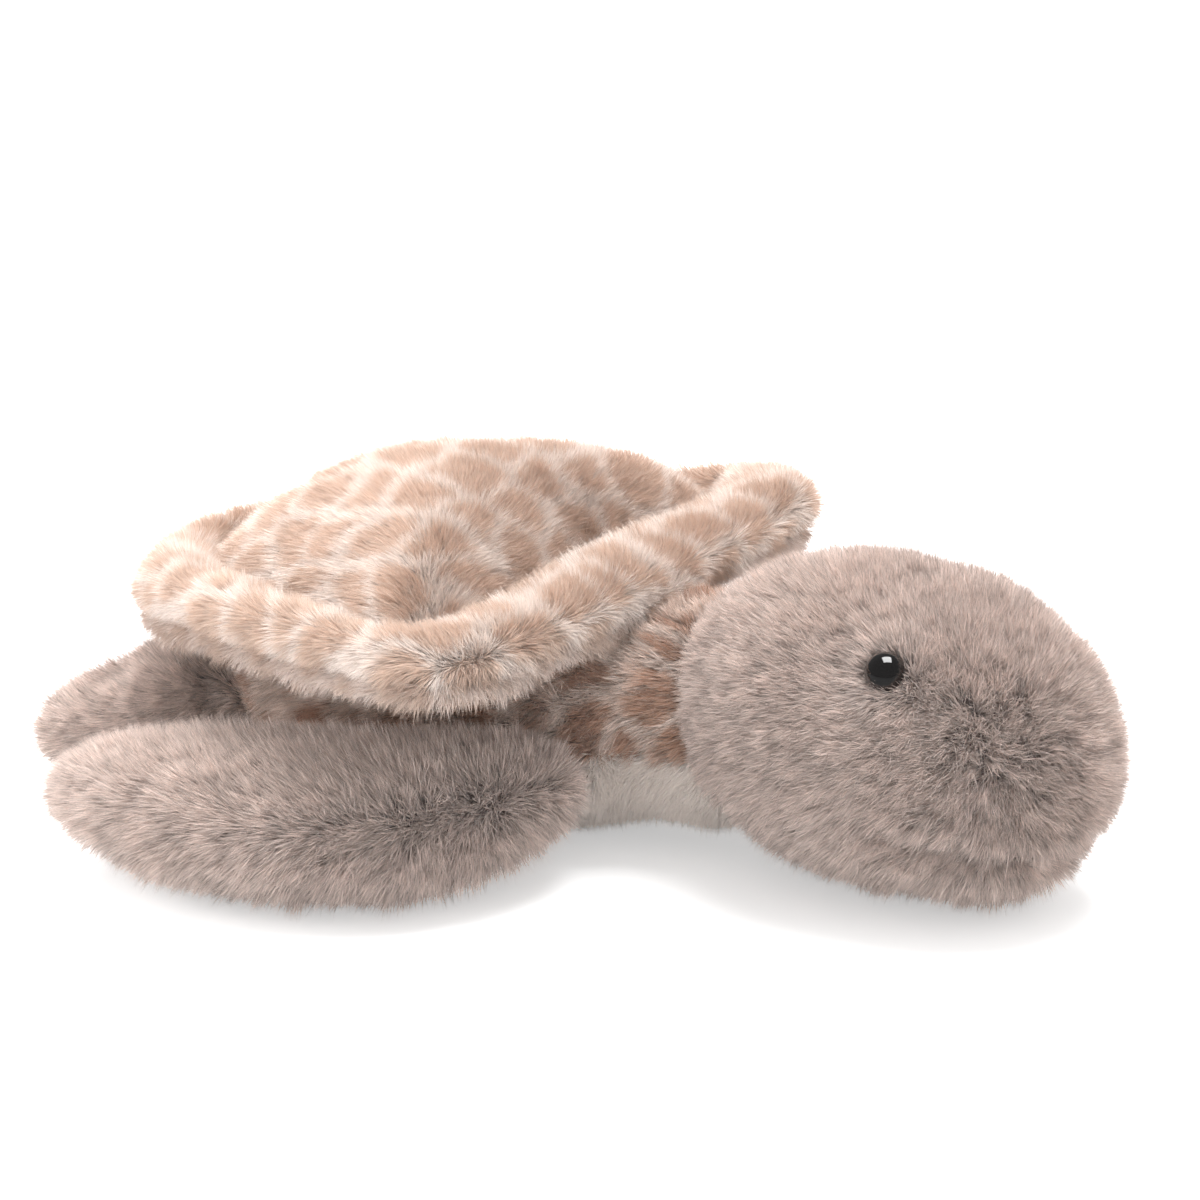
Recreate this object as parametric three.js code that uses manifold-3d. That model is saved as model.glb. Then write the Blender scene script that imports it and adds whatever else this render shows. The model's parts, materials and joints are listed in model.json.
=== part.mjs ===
// A plush sea turtle lying on its belly. Millimetres, +X towards the head, +Y the turtle's left, +Z up.
// Each stuffed form is cut panels of pile cloth sewn edge to edge round a filling of fibre.
// Head, flippers and tail meet the body in round seats, which stand for their seams of soft cloth.
import * as THREE from "three";
import { mergeVertices } from "three/addons/utils/BufferGeometryUtils.js";
import Module from "manifold-3d";

const wasm = await Module();
wasm.setup();

// Cloth, seams and clearances
const PILE = 5; // thickness of the cloth with its fur brushed down
const SEAM = 0.3; // gap between two neighbouring pieces
const SWIVEL = 0.8; // gap between a round seat and its socket
const FLAT = 0.5; // how deep a form is flattened where it lies on the table
const SWEPT = 1.2; // room kept round the body for a limb that turns
const OVERRUN = 40; // how far a cutting block passes what it cuts
const SAME_POINT = 0.001; // vertices closer than this are one
const INNER_DETAIL_SHARE = 0.66; // of a form's rings and sides, kept by what lies inside it

// Head, from neck to snout
const HEAD = {
  rear: 18, // its back, ahead of the shoulder line
  length: 146,
  width: 116,
  height: 106,
  bluntness: 2.9,
  fullness: 2.15,
  widthShares: [0.86, 0.93, 0.98, 1, 1, 0.97, 0.93],
  heightShares: [0.82, 0.88, 0.945, 1, 0.99, 0.975, 0.95],
  liftShares: [0.045, 0.05, 0.033, 0.005, -0.005, -0.04, -0.105],
  rings: 12,
  sides: 24,
  mouthAlongShares: [-0.2, 0.3, 0.5, 0.62, 0.86, 0.96, 1.2], // of its length, along the mouth line
  mouthHeightShares: [0.09, 0.13, 0.29, 0.35, 0.29, 0.225, 0.16], // of its height, at those places
  turn: 15, // degrees to each side
};

// Body, from tail to neck
const BODY = {
  front: 44, // its neck end, ahead of the shoulder line
  length: 212,
  width: 128,
  height: 82,
  bluntness: 3,
  fullness: 2.3,
  widthShares: [0.72, 0.86, 0.97, 1, 1, 0.96, 0.86, 0.74, 0.7],
  heightShares: [0.74, 0.86, 0.98, 1, 1, 0.99, 0.98, 0.96, 0.92],
  liftShares: [-0.02, -0.02, -0.01, 0, 0, 0, 0.005, 0.03, 0.06],
  rings: 12,
  sides: 16,
  bellyAlongShares: [-0.2, 0.3, 0.6, 0.82, 1.4], // of its length, along the belly panel's edge
  bellyHeightShares: [0.22, 0.22, 0.28, 0.47, 0.52], // of its height, at those places
};

// Round seat of the neck in the back of the head
const NECK = { radius: 38, ahead: 25, height: 46, sides: 24 };

// Shell: a quilted pad, a dome stitched down inside a fat rolled rim
const SHELL = {
  front: 16, // its front edge, ahead of the shoulder line
  length: 206,
  width: 252,
  middleShare: 0.44, // of its length, from the front edge to the dome's middle
  alongShares: [0, 0.005, 0.03, 0.1, 0.22, 0.45, 0.68, 0.85, 0.965, 1],
  acrossShares: [0, 0.52, 0.88, 1, 0.965, 0.87, 0.7, 0.49, 0.23, 0],
  rearDrop: 17, // that the pad falls by towards its tail end
  underside: 72, // height of its flat underside at the front
  rimWidth: 31, // at the tail, and a share more towards the front edge
  frontRimShare: 0.45,
  rimHeight: 30,
  rimBottom: 69,
  grooveHeight: 87,
  domeRise: 37,
  domePower: 0.6,
  domeSteps: 5,
  rimSteps: 8,
  around: 36,
  seamRise: 11, // of the edge seam above the rim's bottom
};

// Front flippers, from root to tip, swept back along the body; the places are for the left one
const FRONT_FLIPPER = {
  from: 0, // the shoulder line, where its places are measured from
  root: { along: 1, across: 36 },
  bend: { along: -40, across: 132 },
  tip: { along: -158, across: 104 },
  width: 74,
  height: 53,
  bluntness: 3,
  fullness: 2.2,
  widthShares: [0.74, 0.84, 0.97, 1, 0.97, 0.9, 0.82],
  heightShares: [0.96, 0.98, 1, 0.98, 0.92, 0.82, 0.72],
  liftShares: [0.12, 0.05, 0, 0, 0, -0.02, -0.05],
  rings: 10,
  sides: 16,
  seat: { along: -18, across: 52, height: 25, radius: 19, sides: 16 },
  hinge: new THREE.Vector3(1, 0, 0),
  up: 10, // degrees
  down: 10, // degrees
};

// Rear flippers, from root to tip, pointing back; the places are for the left one
const REAR_FLIPPER = {
  from: BODY.front - BODY.length, // the body's tail end
  root: { along: 54, across: 34 },
  bend: { along: 16, across: 42 },
  tip: { along: -42, across: 50 },
  width: 48,
  height: 54,
  bluntness: 2.8,
  fullness: 2.2,
  widthShares: [0.85, 0.95, 1, 1, 0.97, 0.92, 0.85],
  heightShares: [0.9, 0.98, 0.98, 0.97, 0.94, 0.9, 0.86],
  liftShares: [0, 0, 0, -0.015, -0.045, -0.08, -0.12],
  rings: 8,
  sides: 12,
  seat: { along: 42, across: 38, height: 28, radius: 17, sides: 16 },
  hinge: new THREE.Vector3(0, 1, 0),
  up: 3, // degrees
  down: 10, // degrees
};

// Tail, a short stub
const TAIL = {
  from: BODY.front - BODY.length, // the body's tail end
  root: { along: 18, across: 0 },
  tip: { along: -22, across: 0 },
  width: 26,
  height: 22,
  bluntness: 2.4,
  fullness: 2,
  widthShares: [1, 1, 0.88, 0.66, 0.5],
  heightShares: [1, 1, 0.88, 0.68, 0.55],
  liftShares: [0, 0],
  rings: 7,
  sides: 12,
  seat: { along: 2, across: 0, height: 17, radius: 10, sides: 12 }, // as high as its middle
  hinge: new THREE.Vector3(0, 0, 1),
  wag: 15, // degrees to each side
};

// Eyes: a domed plastic cap whose ribbed stem passes the cloth into a washer
const EYE = {
  alongShare: 0.61, // of the head's length, from its back
  upAngle: 39, // degrees above level, round the head's section
  diameter: 12,
  rise: 6, // of the dome above its flat back
  edge: 0.9, // height of the dome's straight edge
  backing: 1.6, // thickness of the cloth under its pile
  stemDiameter: 4,
  stemLength: 13,
  ribs: 2,
  ribDepth: 0.4,
  washerDiameter: 17,
  washerThickness: 1.8,
  domeSteps: 4,
  sides: 14,
};

const ROUGHNESS = { cloth: 0.95, glossy: 0.08, moulded: 0.5 };
const COLOURS = {
  taupe: 0xb3a196,
  taupeShade: 0xa3917f,
  sand: 0xe3c9b4,
  sandShade: 0xb9957d,
  cream: 0xe6e0da,
  fibre: 0xf4f2ee,
  black: 0x0b0a0a,
  clear: 0xd5d5d2,
};

// Reads evenly spaced shares at any place from 0 to 1.
function shareReader(shares) {
  const places = shares.map((share, i) => i / (shares.length - 1));
  const curve = new THREE.CubicInterpolant(places, shares, 1);
  return (along) => curve.evaluate(along)[0];
}

// A closed skin through rings of points, whose first and last rings are single points.
function skinGeometry(rings) {
  const vertices = rings.flat();
  const count = rings[1].length;
  const last = vertices.length - 1;
  const at = (ring, side) => 1 + (ring - 1) * count + (side % count);
  const index = [];
  for (let side = 0; side < count; side++) {
    index.push(0, at(1, side), at(1, side + 1));
    for (let ring = 1; ring < rings.length - 2; ring++) {
      index.push(at(ring, side), at(ring + 1, side), at(ring + 1, side + 1));
      index.push(at(ring, side), at(ring + 1, side + 1), at(ring, side + 1));
    }
    index.push(last, at(rings.length - 2, side + 1), at(rings.length - 2, side));
  }
  return new THREE.BufferGeometry().setFromPoints(vertices).setIndex(index);
}

// Reads points on a stuffed form, whose section swells and tapers along a spine, drawn in by an inset.
function formReader(form, inset) {
  const widthAt = shareReader(form.widthShares);
  const heightAt = shareReader(form.heightShares);
  const liftAt = shareReader(form.liftShares);
  const power = 2 / form.fullness;
  const round = (value) => Math.sign(value) * Math.abs(value) ** power;
  const spineLength = form.spine.getLength();
  return (along, angle) => {
    // An inset shortens the form at both ends, and a negative one lengthens it past its spine.
    const place = inset + along * (spineLength - 2 * inset);
    const onSpine = THREE.MathUtils.clamp(place / spineLength, 0, 1);
    const ahead = form.spine.getTangentAt(onSpine);
    const point = form.spine.getPointAt(onSpine);
    point.addScaledVector(ahead, place - onSpine * spineLength);
    const across = new THREE.Vector3(-ahead.y, ahead.x, 0).normalize();
    const cap = Math.sqrt(Math.max(0, 1 - Math.abs(2 * along - 1) ** form.bluntness));
    const halfWidth = (form.width / 2 - inset) * widthAt(along) * cap;
    const halfHeight = (form.height / 2 - inset) * heightAt(along) * cap;
    point.addScaledVector(across, -halfWidth * round(Math.cos(angle)));
    point.z += liftAt(along) * form.height + halfHeight * round(Math.sin(angle));
    return point;
  };
}

// The place along a form of one of its rings, which stand closer together towards its ends.
function ringPlace(ring, ringCount) {
  return (1 - Math.cos((Math.PI * ring) / ringCount)) / 2;
}

// The nearest count of sides that puts a vertex at the top, the bottom and both flanks.
function quartered(sides) {
  return 4 * Math.round(sides / 4);
}

// The closed skin of a stuffed form, with a share of its rings and sides.
function stuffedGeometry(form, inset, detailShare) {
  const pointAt = formReader(form, inset);
  const ringCount = Math.round(form.rings * detailShare);
  const sides = quartered(form.sides * detailShare);
  const rings = [];
  for (let ring = 0; ring <= ringCount; ring++) {
    const along = ringPlace(ring, ringCount);
    const count = ring === 0 || ring === ringCount ? 1 : sides;
    const angles = Array.from({ length: count }, (none, side) => (2 * Math.PI * side) / sides);
    rings.push(angles.map((angle) => pointAt(along, angle)));
  }
  return skinGeometry(rings);
}

// How far the shell's pad has dropped at a place along it.
function shellDrop(along) {
  return SHELL.rearDrop * ((SHELL.front - along) / SHELL.length) ** 2;
}

// The middle of the shell's dome, from above.
const shellMiddle = new THREE.Vector3(SHELL.front - SHELL.middleShare * SHELL.length, 0, 0);

// The shell's outline from above, drawn in towards the dome's middle: evenly spaced points, anticlockwise.
function shellOutline(inward) {
  const half = SHELL.alongShares.map((share, i) => {
    const across = (SHELL.acrossShares[i] * SHELL.width) / 2;
    return new THREE.Vector3(SHELL.front - share * SHELL.length, across, 0);
  });
  const otherHalf = half.slice(1, -1).reverse().map((point) => new THREE.Vector3(point.x, -point.y, 0));
  const curve = new THREE.CatmullRomCurve3([...half, ...otherHalf], true, "centripetal");
  return curve.getSpacedPoints(SHELL.around).slice(0, -1).map((edge) => {
    const way = edge.clone().sub(shellMiddle);
    const ahead = THREE.MathUtils.smoothstep(edge.x, shellMiddle.x, SHELL.front);
    edge.addScaledVector(way.normalize(), -inward);
    return edge.setX(edge.x - inward * SHELL.frontRimShare * ahead);
  });
}

// The shell's pad, drawn in by an inset: dome, groove, rolled rim and flat underside in one skin.
function shellGeometry(inset) {
  const rollHalfWidth = SHELL.rimWidth / 2 - inset;
  const rollHalfHeight = SHELL.rimHeight / 2 - inset;
  const rollMiddle = SHELL.rimBottom + SHELL.rimHeight / 2;
  const groove = SHELL.grooveHeight - inset;
  const underside = SHELL.underside + inset;
  // A ring at one height, at a share of the way out from the dome's middle to a drawn-in outline.
  const ringAt = (height, inward, outShare) =>
    shellOutline(inward).map((edge) => {
      const point = shellMiddle.clone().lerp(edge, outShare);
      return point.setZ(height - shellDrop(point.x));
    });
  const poleAt = (height) => [shellMiddle.clone().setZ(height - shellDrop(shellMiddle.x))];
  const rings = [poleAt(groove + SHELL.domeRise)];
  for (let step = 1; step <= SHELL.domeSteps; step++) {
    const outShare = Math.sin((Math.PI * step) / (2 * SHELL.domeSteps));
    const rise = SHELL.domeRise * Math.max(0, 1 - outShare ** 2) ** SHELL.domePower;
    rings.push(ringAt(groove + rise, SHELL.rimWidth, outShare));
  }
  const start = Math.PI - Math.asin((groove - rollMiddle) / rollHalfHeight);
  const finish = -Math.PI - Math.asin((underside - rollMiddle) / rollHalfHeight);
  for (let step = 0; step <= SHELL.rimSteps; step++) {
    const angle = start + ((finish - start) * step) / SHELL.rimSteps;
    const inward = SHELL.rimWidth / 2 - rollHalfWidth * Math.cos(angle);
    rings.push(ringAt(rollMiddle + rollHalfHeight * Math.sin(angle), inward, 1));
  }
  rings.push(poleAt(underside));
  return skinGeometry(rings);
}

// Turns a closed geometry into a solid that can be cut and joined.
function solidOf(geometry) {
  const bare = geometry.clone();
  bare.deleteAttribute("normal");
  bare.deleteAttribute("uv");
  const merged = mergeVertices(bare, SAME_POINT);
  const vertProperties = merged.getAttribute("position").array;
  const triVerts = new Uint32Array(merged.index.array);
  return new wasm.Manifold(new wasm.Mesh({ numProp: 3, vertProperties, triVerts }));
}

// Turns a solid back into a geometry.
function geometryOf(solid) {
  const made = solid.getMesh();
  const geometry = new THREE.BufferGeometry();
  geometry.setAttribute("position", new THREE.BufferAttribute(made.vertProperties, 3));
  return geometry.setIndex(new THREE.BufferAttribute(made.triVerts, 1));
}

// The largest of a solid's separate bodies: the offcuts of a cut are dropped.
function largest(solid) {
  const bodies = solid.decompose().sort((one, other) => other.volume() - one.volume());
  return bodies[0];
}

// What is left of a solid after its cuts.
function cut(solid, ...tools) {
  return tools.reduce((left, tool) => left.subtract(tool), solid);
}

// A block that runs past the whole turtle on every side but one.
const reach = BODY.length + HEAD.length + OVERRUN;
const block = () => new THREE.BoxGeometry(2 * reach, 2 * reach, reach);
const below = (height) => solidOf(block().translate(0, 0, height - reach / 2));
const table = below(0);
const sideways = new THREE.Matrix4().makeRotationX(Math.PI / 2);
const leftHalf = (gap) => solidOf(block().applyMatrix4(sideways).translate(0, reach / 2 + gap / 2, 0));

// Everything below a line in the side view, given by places along and heights.
function underLine(places, raise) {
  const line = places.map(({ along, height }) => new THREE.Vector2(along, height + raise));
  const shape = new THREE.Shape(line);
  shape.lineTo(line.at(-1).x, -OVERRUN);
  shape.lineTo(line[0].x, -OVERRUN);
  const prism = new THREE.ExtrudeGeometry(shape, { depth: 2 * reach, bevelEnabled: false });
  return solidOf(prism.translate(0, 0, -reach).applyMatrix4(sideways));
}

// A ball whose poles stand on the axis that it turns about.
function ball(centre, radius, sides, hinge) {
  const sphere = new THREE.SphereGeometry(radius, sides, Math.round(sides / 2));
  sphere.applyQuaternion(new THREE.Quaternion().setFromUnitVectors(new THREE.Vector3(0, 1, 0), hinge));
  return solidOf(sphere.translate(centre.x, centre.y, centre.z));
}

// A solid turned by degrees about a hinge through a place.
function turned(solid, centre, hinge, degrees) {
  const turn = new THREE.Matrix4().makeTranslation(centre);
  turn.multiply(new THREE.Matrix4().makeRotationAxis(hinge, THREE.MathUtils.degToRad(degrees)));
  turn.multiply(new THREE.Matrix4().makeTranslation(centre.clone().negate()));
  return solid.transform(turn.elements);
}

// The room that a fixed solid takes up as a limb sees it, at rest and at both ends of the limb's range.
function sweptPast(solid, centre, hinge, lowest, highest) {
  const others = [-lowest, -highest].map((degrees) => turned(solid, centre, hinge, degrees));
  return others.reduce((all, one) => all.add(one), solid);
}

// Solids of the whole forms, before their panels are cut apart
const INNER = PILE + SEAM; // how far a filling lies inside the outside of its cover
const detailFor = (inset) => (inset > 0 ? INNER_DETAIL_SHARE : 1);
const stuffed = (form, inset) => solidOf(stuffedGeometry(form, inset, detailFor(inset)));
const shellPad = (inset) => solidOf(shellGeometry(inset));

// How high a form's middle lies when its lowest point is flattened on the table.
function restingHeight(form) {
  const heightAt = shareReader(form.heightShares);
  const liftAt = shareReader(form.liftShares);
  const depths = Array.from({ length: form.rings - 1 }, (none, i) => {
    const along = ringPlace(i + 1, form.rings);
    const cap = Math.sqrt(1 - Math.abs(2 * along - 1) ** form.bluntness);
    return (form.height / 2) * heightAt(along) * cap - form.height * liftAt(along);
  });
  return Math.max(...depths) - FLAT;
}

// A level spine from root to tip at a height.
function spineOf(form, side, middle) {
  const at = ({ along, across }) => new THREE.Vector3(form.from + along, side * across, middle);
  const bend = form.bend ?? { along: (form.root.along + form.tip.along) / 2, across: form.root.across };
  return new THREE.QuadraticBezierCurve3(at(form.root), at(bend), at(form.tip));
}
const bodyRear = BODY.front - BODY.length;
const straight = (from, length) => ({ from, root: { along: 0, across: 0 }, tip: { along: length, across: 0 } });
const head = { ...HEAD, spine: spineOf(straight(HEAD.rear, HEAD.length), 1, restingHeight(HEAD)) };
const body = { ...BODY, spine: spineOf(straight(bodyRear, BODY.length), 1, restingHeight(BODY)) };

// Body: its stuffed form with the neck's round seat, under the shell
const upright = new THREE.Vector3(0, 0, 1);
const neckCentre = new THREE.Vector3(NECK.ahead, 0, NECK.height);
const ballSides = (sides, inset) => quartered(sides * detailFor(inset));
const neckBall = (inset) => ball(neckCentre, NECK.radius - inset, ballSides(NECK.sides, inset), upright);
const bodyRoom = stuffed(body, -SWEPT).subtract(shellPad(-SEAM));

// A limb's outside, hollow and filling, and the socket of the round seat that it turns on.
function limbOf(form, side, middle, lowest, highest) {
  const { along, across, height, radius, sides } = form.seat;
  const centre = new THREE.Vector3(form.from + along, side * across, height);
  const limb = { ...form, spine: spineOf(form, side, middle) };
  const room = sweptPast(bodyRoom, centre, form.hinge, lowest, highest);
  const seat = (inset) => ball(centre, radius - inset, ballSides(sides, inset), form.hinge);
  const whole = (inset) => stuffed(limb, inset).subtract(room).add(seat(inset)).subtract(below(inset));
  return {
    centre,
    outside: largest(whole(0)),
    hollow: stuffed(limb, PILE).add(seat(PILE)).subtract(below(PILE)),
    filling: largest(whole(INNER)),
    socket: seat(-SWIVEL),
  };
}

// A positive turn about +X lifts the left flipper and lowers the right one; about +Y it lifts both rear ones.
const frontHeight = restingHeight(FRONT_FLIPPER);
const rearHeight = restingHeight(REAR_FLIPPER);
const limbs = {
  front_flipper_left: limbOf(FRONT_FLIPPER, 1, frontHeight, -FRONT_FLIPPER.down, FRONT_FLIPPER.up),
  front_flipper_right: limbOf(FRONT_FLIPPER, -1, frontHeight, -FRONT_FLIPPER.up, FRONT_FLIPPER.down),
  rear_flipper_left: limbOf(REAR_FLIPPER, 1, rearHeight, -REAR_FLIPPER.down, REAR_FLIPPER.up),
  rear_flipper_right: limbOf(REAR_FLIPPER, -1, rearHeight, -REAR_FLIPPER.down, REAR_FLIPPER.up),
  tail: limbOf(TAIL, 1, TAIL.seat.height, -TAIL.wag, TAIL.wag),
};

// The finished turtle: one group for each part that moves, all in the turtle's own frame
const turtle = new THREE.Group();
const rest = new THREE.Group();
turtle.add(rest);

function addGroup() {
  const group = new THREE.Group();
  rest.add(group);
  return group;
}

function addMesh(group, name, solid, colour) {
  const material = new THREE.MeshStandardMaterial({ color: colour, roughness: ROUGHNESS.cloth });
  const mesh = new THREE.Mesh(geometryOf(largest(solid)), material);
  mesh.name = name;
  group.add(mesh);
  return mesh;
}

// Cuts a cover along a line seen from the side, and its upper part down the middle, into three panels.
function addSidePanels(group, cover, line, names, colours) {
  const upper = cover.subtract(underLine(line, SEAM));
  addMesh(group, names.left, upper.intersect(leftHalf(SEAM)), colours.upper);
  addMesh(group, names.right, upper.subtract(leftHalf(-SEAM)), colours.upper);
  addMesh(group, names.lower, cover.intersect(underLine(line, 0)), colours.lower);
}

// A line in the side view from shares of a form's length and height.
function lineOf(form, rear, alongShares, heightShares) {
  return alongShares.map((share, i) => ({
    along: rear + share * form.length,
    height: heightShares[i] * form.height,
  }));
}

// Body and shell
const torsoGroup = addGroup();
const sockets = Object.values(limbs).map((limb) => limb.socket);
const torso = (inset) =>
  cut(stuffed(body, inset).add(neckBall(inset)), shellPad(-SEAM - inset), ...sockets, below(inset));
const torsoHollow = stuffed(body, PILE).add(neckBall(PILE)).subtract(below(PILE));
const bellyLine = lineOf(BODY, bodyRear, BODY.bellyAlongShares, BODY.bellyHeightShares);
addSidePanels(
  torsoGroup,
  torso(0).subtract(torsoHollow.subtract(shellPad(-SEAM - PILE))),
  bellyLine,
  { left: "body_left_panel", right: "body_right_panel", lower: "belly_panel" },
  { upper: COLOURS.sandShade, lower: COLOURS.cream },
);
addMesh(torsoGroup, "body_filling", torso(INNER), COLOURS.fibre);

// A wall that stands on a drawn-in copy of the shell's outline.
function outlineWall(inward) {
  const shape = new THREE.Shape(shellOutline(inward).map((point) => new THREE.Vector2(point.x, point.y)));
  return solidOf(new THREE.ExtrudeGeometry(shape, { depth: reach, bevelEnabled: false }));
}

const seamHeight = SHELL.rimBottom + SHELL.seamRise;
const edgeLine = [
  { along: SHELL.front - SHELL.length - OVERRUN, height: seamHeight - shellDrop(SHELL.front - SHELL.length) },
  ...SHELL.alongShares
    .map((share) => SHELL.front - share * SHELL.length)
    .reverse()
    .map((along) => ({ along, height: seamHeight - shellDrop(along) })),
  { along: SHELL.front + OVERRUN, height: seamHeight },
];
const shellCover = shellPad(0).subtract(shellPad(PILE));
addMesh(torsoGroup, "shell_top_cover", shellCover.subtract(underLine(edgeLine, SEAM)), COLOURS.sand);
addMesh(torsoGroup, "shell_underside_cover", shellCover.intersect(underLine(edgeLine, 0)), COLOURS.cream);
const domeFilling = shellPad(INNER).intersect(outlineWall(SHELL.rimWidth + SEAM / 2));
const rimFilling = shellPad(INNER).subtract(outlineWall(SHELL.rimWidth - SEAM / 2));
addMesh(torsoGroup, "shell_dome_filling", domeFilling, COLOURS.fibre);
addMesh(torsoGroup, "shell_rim_filling", rimFilling, COLOURS.fibre);

// Eyes, in a frame whose Z points out of the head and whose origin lies on the outside of its fur
const clothTop = EYE.backing - PILE;
const eyeBack = clothTop + SEAM;
const washerTop = -INNER;
const washerBottom = washerTop - EYE.washerThickness;
const stemEnd = eyeBack - EYE.stemLength;
const ribRadius = EYE.stemDiameter / 2 + EYE.ribDepth;

function eyeFrame(side) {
  const pointAt = formReader(head, 0);
  const upAngle = THREE.MathUtils.degToRad(EYE.upAngle);
  const angle = side > 0 ? Math.PI - upAngle : upAngle;
  const point = pointAt(EYE.alongShare, angle);
  const step = THREE.MathUtils.degToRad(1);
  const forwards = pointAt(EYE.alongShare + step, angle).sub(point);
  const upwards = pointAt(EYE.alongShare, angle + step).sub(point);
  const outwards = forwards.cross(upwards).normalize();
  const turn = new THREE.Quaternion().setFromUnitVectors(upright, outwards);
  return new THREE.Matrix4().compose(point, turn, new THREE.Vector3(1, 1, 1));
}

// A turned piece, from its outline of radius and height, on the eye's own Z axis.
function turnedPiece(outline) {
  const points = outline.map(([radius, height]) => new THREE.Vector2(radius, height));
  return new THREE.LatheGeometry(points, EYE.sides).applyMatrix4(sideways);
}

function eyeGeometry() {
  const outline = [[0, stemEnd], [EYE.stemDiameter / 2, stemEnd]];
  const ribPitch = (washerBottom - stemEnd) / (EYE.ribs + 1);
  for (let rib = 1; rib <= EYE.ribs; rib++) {
    const top = stemEnd + (rib + 0.5) * ribPitch;
    outline.push([EYE.stemDiameter / 2, top - ribPitch / 2], [ribRadius, top], [EYE.stemDiameter / 2, top]);
  }
  outline.push([EYE.stemDiameter / 2, eyeBack], [EYE.diameter / 2, eyeBack]);
  for (let step = 0; step <= EYE.domeSteps; step++) {
    const angle = (Math.PI / 2) * (step / EYE.domeSteps);
    const height = eyeBack + EYE.edge + (EYE.rise - EYE.edge) * Math.sin(angle);
    outline.push([(EYE.diameter / 2) * Math.cos(angle), height]);
  }
  outline[outline.length - 1][0] = 0;
  return turnedPiece(outline);
}

function washerGeometry() {
  const inside = ribRadius + SEAM;
  const outside = EYE.washerDiameter / 2;
  const chamfer = EYE.washerThickness / 3;
  return turnedPiece([
    [inside, washerBottom],
    [outside - chamfer, washerBottom],
    [outside, washerBottom + chamfer],
    [outside, washerTop],
    [inside, washerTop],
    [inside, washerBottom],
  ]);
}

// A round hole or room on the eye's axis, between two heights.
function eyeRoom(frame, radius, low, high) {
  return solidOf(turnedPiece([[0, low], [radius, low], [radius, high], [0, high]]).applyMatrix4(frame));
}

const eyes = [["left", 1], ["right", -1]].map(([side, sign]) => ({ side, frame: eyeFrame(sign) }));
const eyeHoles = eyes.flatMap(({ frame }) => [
  eyeRoom(frame, EYE.diameter / 2 + SEAM, clothTop, EYE.rise),
  eyeRoom(frame, EYE.stemDiameter / 2 + SEAM, stemEnd, EYE.rise),
]);
const washerRooms = eyes.flatMap(({ frame }) => [
  eyeRoom(frame, EYE.washerDiameter / 2 + SEAM, washerBottom - SEAM, -PILE),
  eyeRoom(frame, ribRadius + SEAM, stemEnd - SEAM, -PILE),
]);

// Head
const headGroup = addGroup();
const headRoom = sweptPast(bodyRoom, neckCentre, upright, -HEAD.turn, HEAD.turn).add(neckBall(-SWIVEL));
const headCover = cut(stuffed(head, 0), table, headRoom, stuffed(head, PILE).subtract(below(PILE)));
addSidePanels(
  headGroup,
  cut(headCover, ...eyeHoles, ...washerRooms),
  lineOf(HEAD, HEAD.rear, HEAD.mouthAlongShares, HEAD.mouthHeightShares),
  { left: "head_left_panel", right: "head_right_panel", lower: "chin_panel" },
  { upper: COLOURS.taupe, lower: COLOURS.taupeShade },
);
const headFilling = cut(stuffed(head, INNER), below(INNER), headRoom, ...washerRooms);
addMesh(headGroup, "head_filling", headFilling, COLOURS.fibre);

function addEyePiece(name, geometry, frame, colour, roughness) {
  const material = new THREE.MeshStandardMaterial({ color: colour, roughness });
  const mesh = new THREE.Mesh(geometry, material);
  mesh.name = name;
  mesh.applyMatrix4(frame);
  headGroup.add(mesh);
}
for (const { side, frame } of eyes) {
  addEyePiece(`eye_${side}`, eyeGeometry(), frame, COLOURS.black, ROUGHNESS.glossy);
  addEyePiece(`eye_washer_${side}`, washerGeometry(), frame, COLOURS.clear, ROUGHNESS.moulded);
}

// Flippers and tail: a top and a bottom panel that meet round the middle of the edge
for (const [name, limb] of Object.entries(limbs)) {
  const group = addGroup();
  const cover = limb.outside.subtract(limb.hollow);
  const upper = cover.subtract(below(limb.centre.z + SEAM / 2));
  const lower = cover.intersect(below(limb.centre.z - SEAM / 2));
  addMesh(group, `${name}_top_panel`, upper, COLOURS.taupe);
  addMesh(group, `${name}_bottom_panel`, lower, COLOURS.taupeShade);
  addMesh(group, `${name}_filling`, limb.filling, COLOURS.fibre);
}

// The turtle stands with the middle of its underside on the origin.
const bounds = new THREE.Box3().setFromObject(rest);
rest.position.x = -(bounds.min.x + bounds.max.x) / 2;

export default turtle;
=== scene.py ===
"""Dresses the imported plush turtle: stuffed skins, fur, glossy eyes and the studio they are seen in.

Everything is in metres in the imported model's frame: +X towards the head, +Y the turtle's left, +Z up.
"""

import json
import logging
import math
from dataclasses import dataclass
from enum import Enum
from itertools import product
from typing import Callable

import bmesh
import bpy
import numpy as np
from mathutils import Matrix, Vector, kdtree, noise
from mathutils.bvhtree import BVHTree

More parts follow.
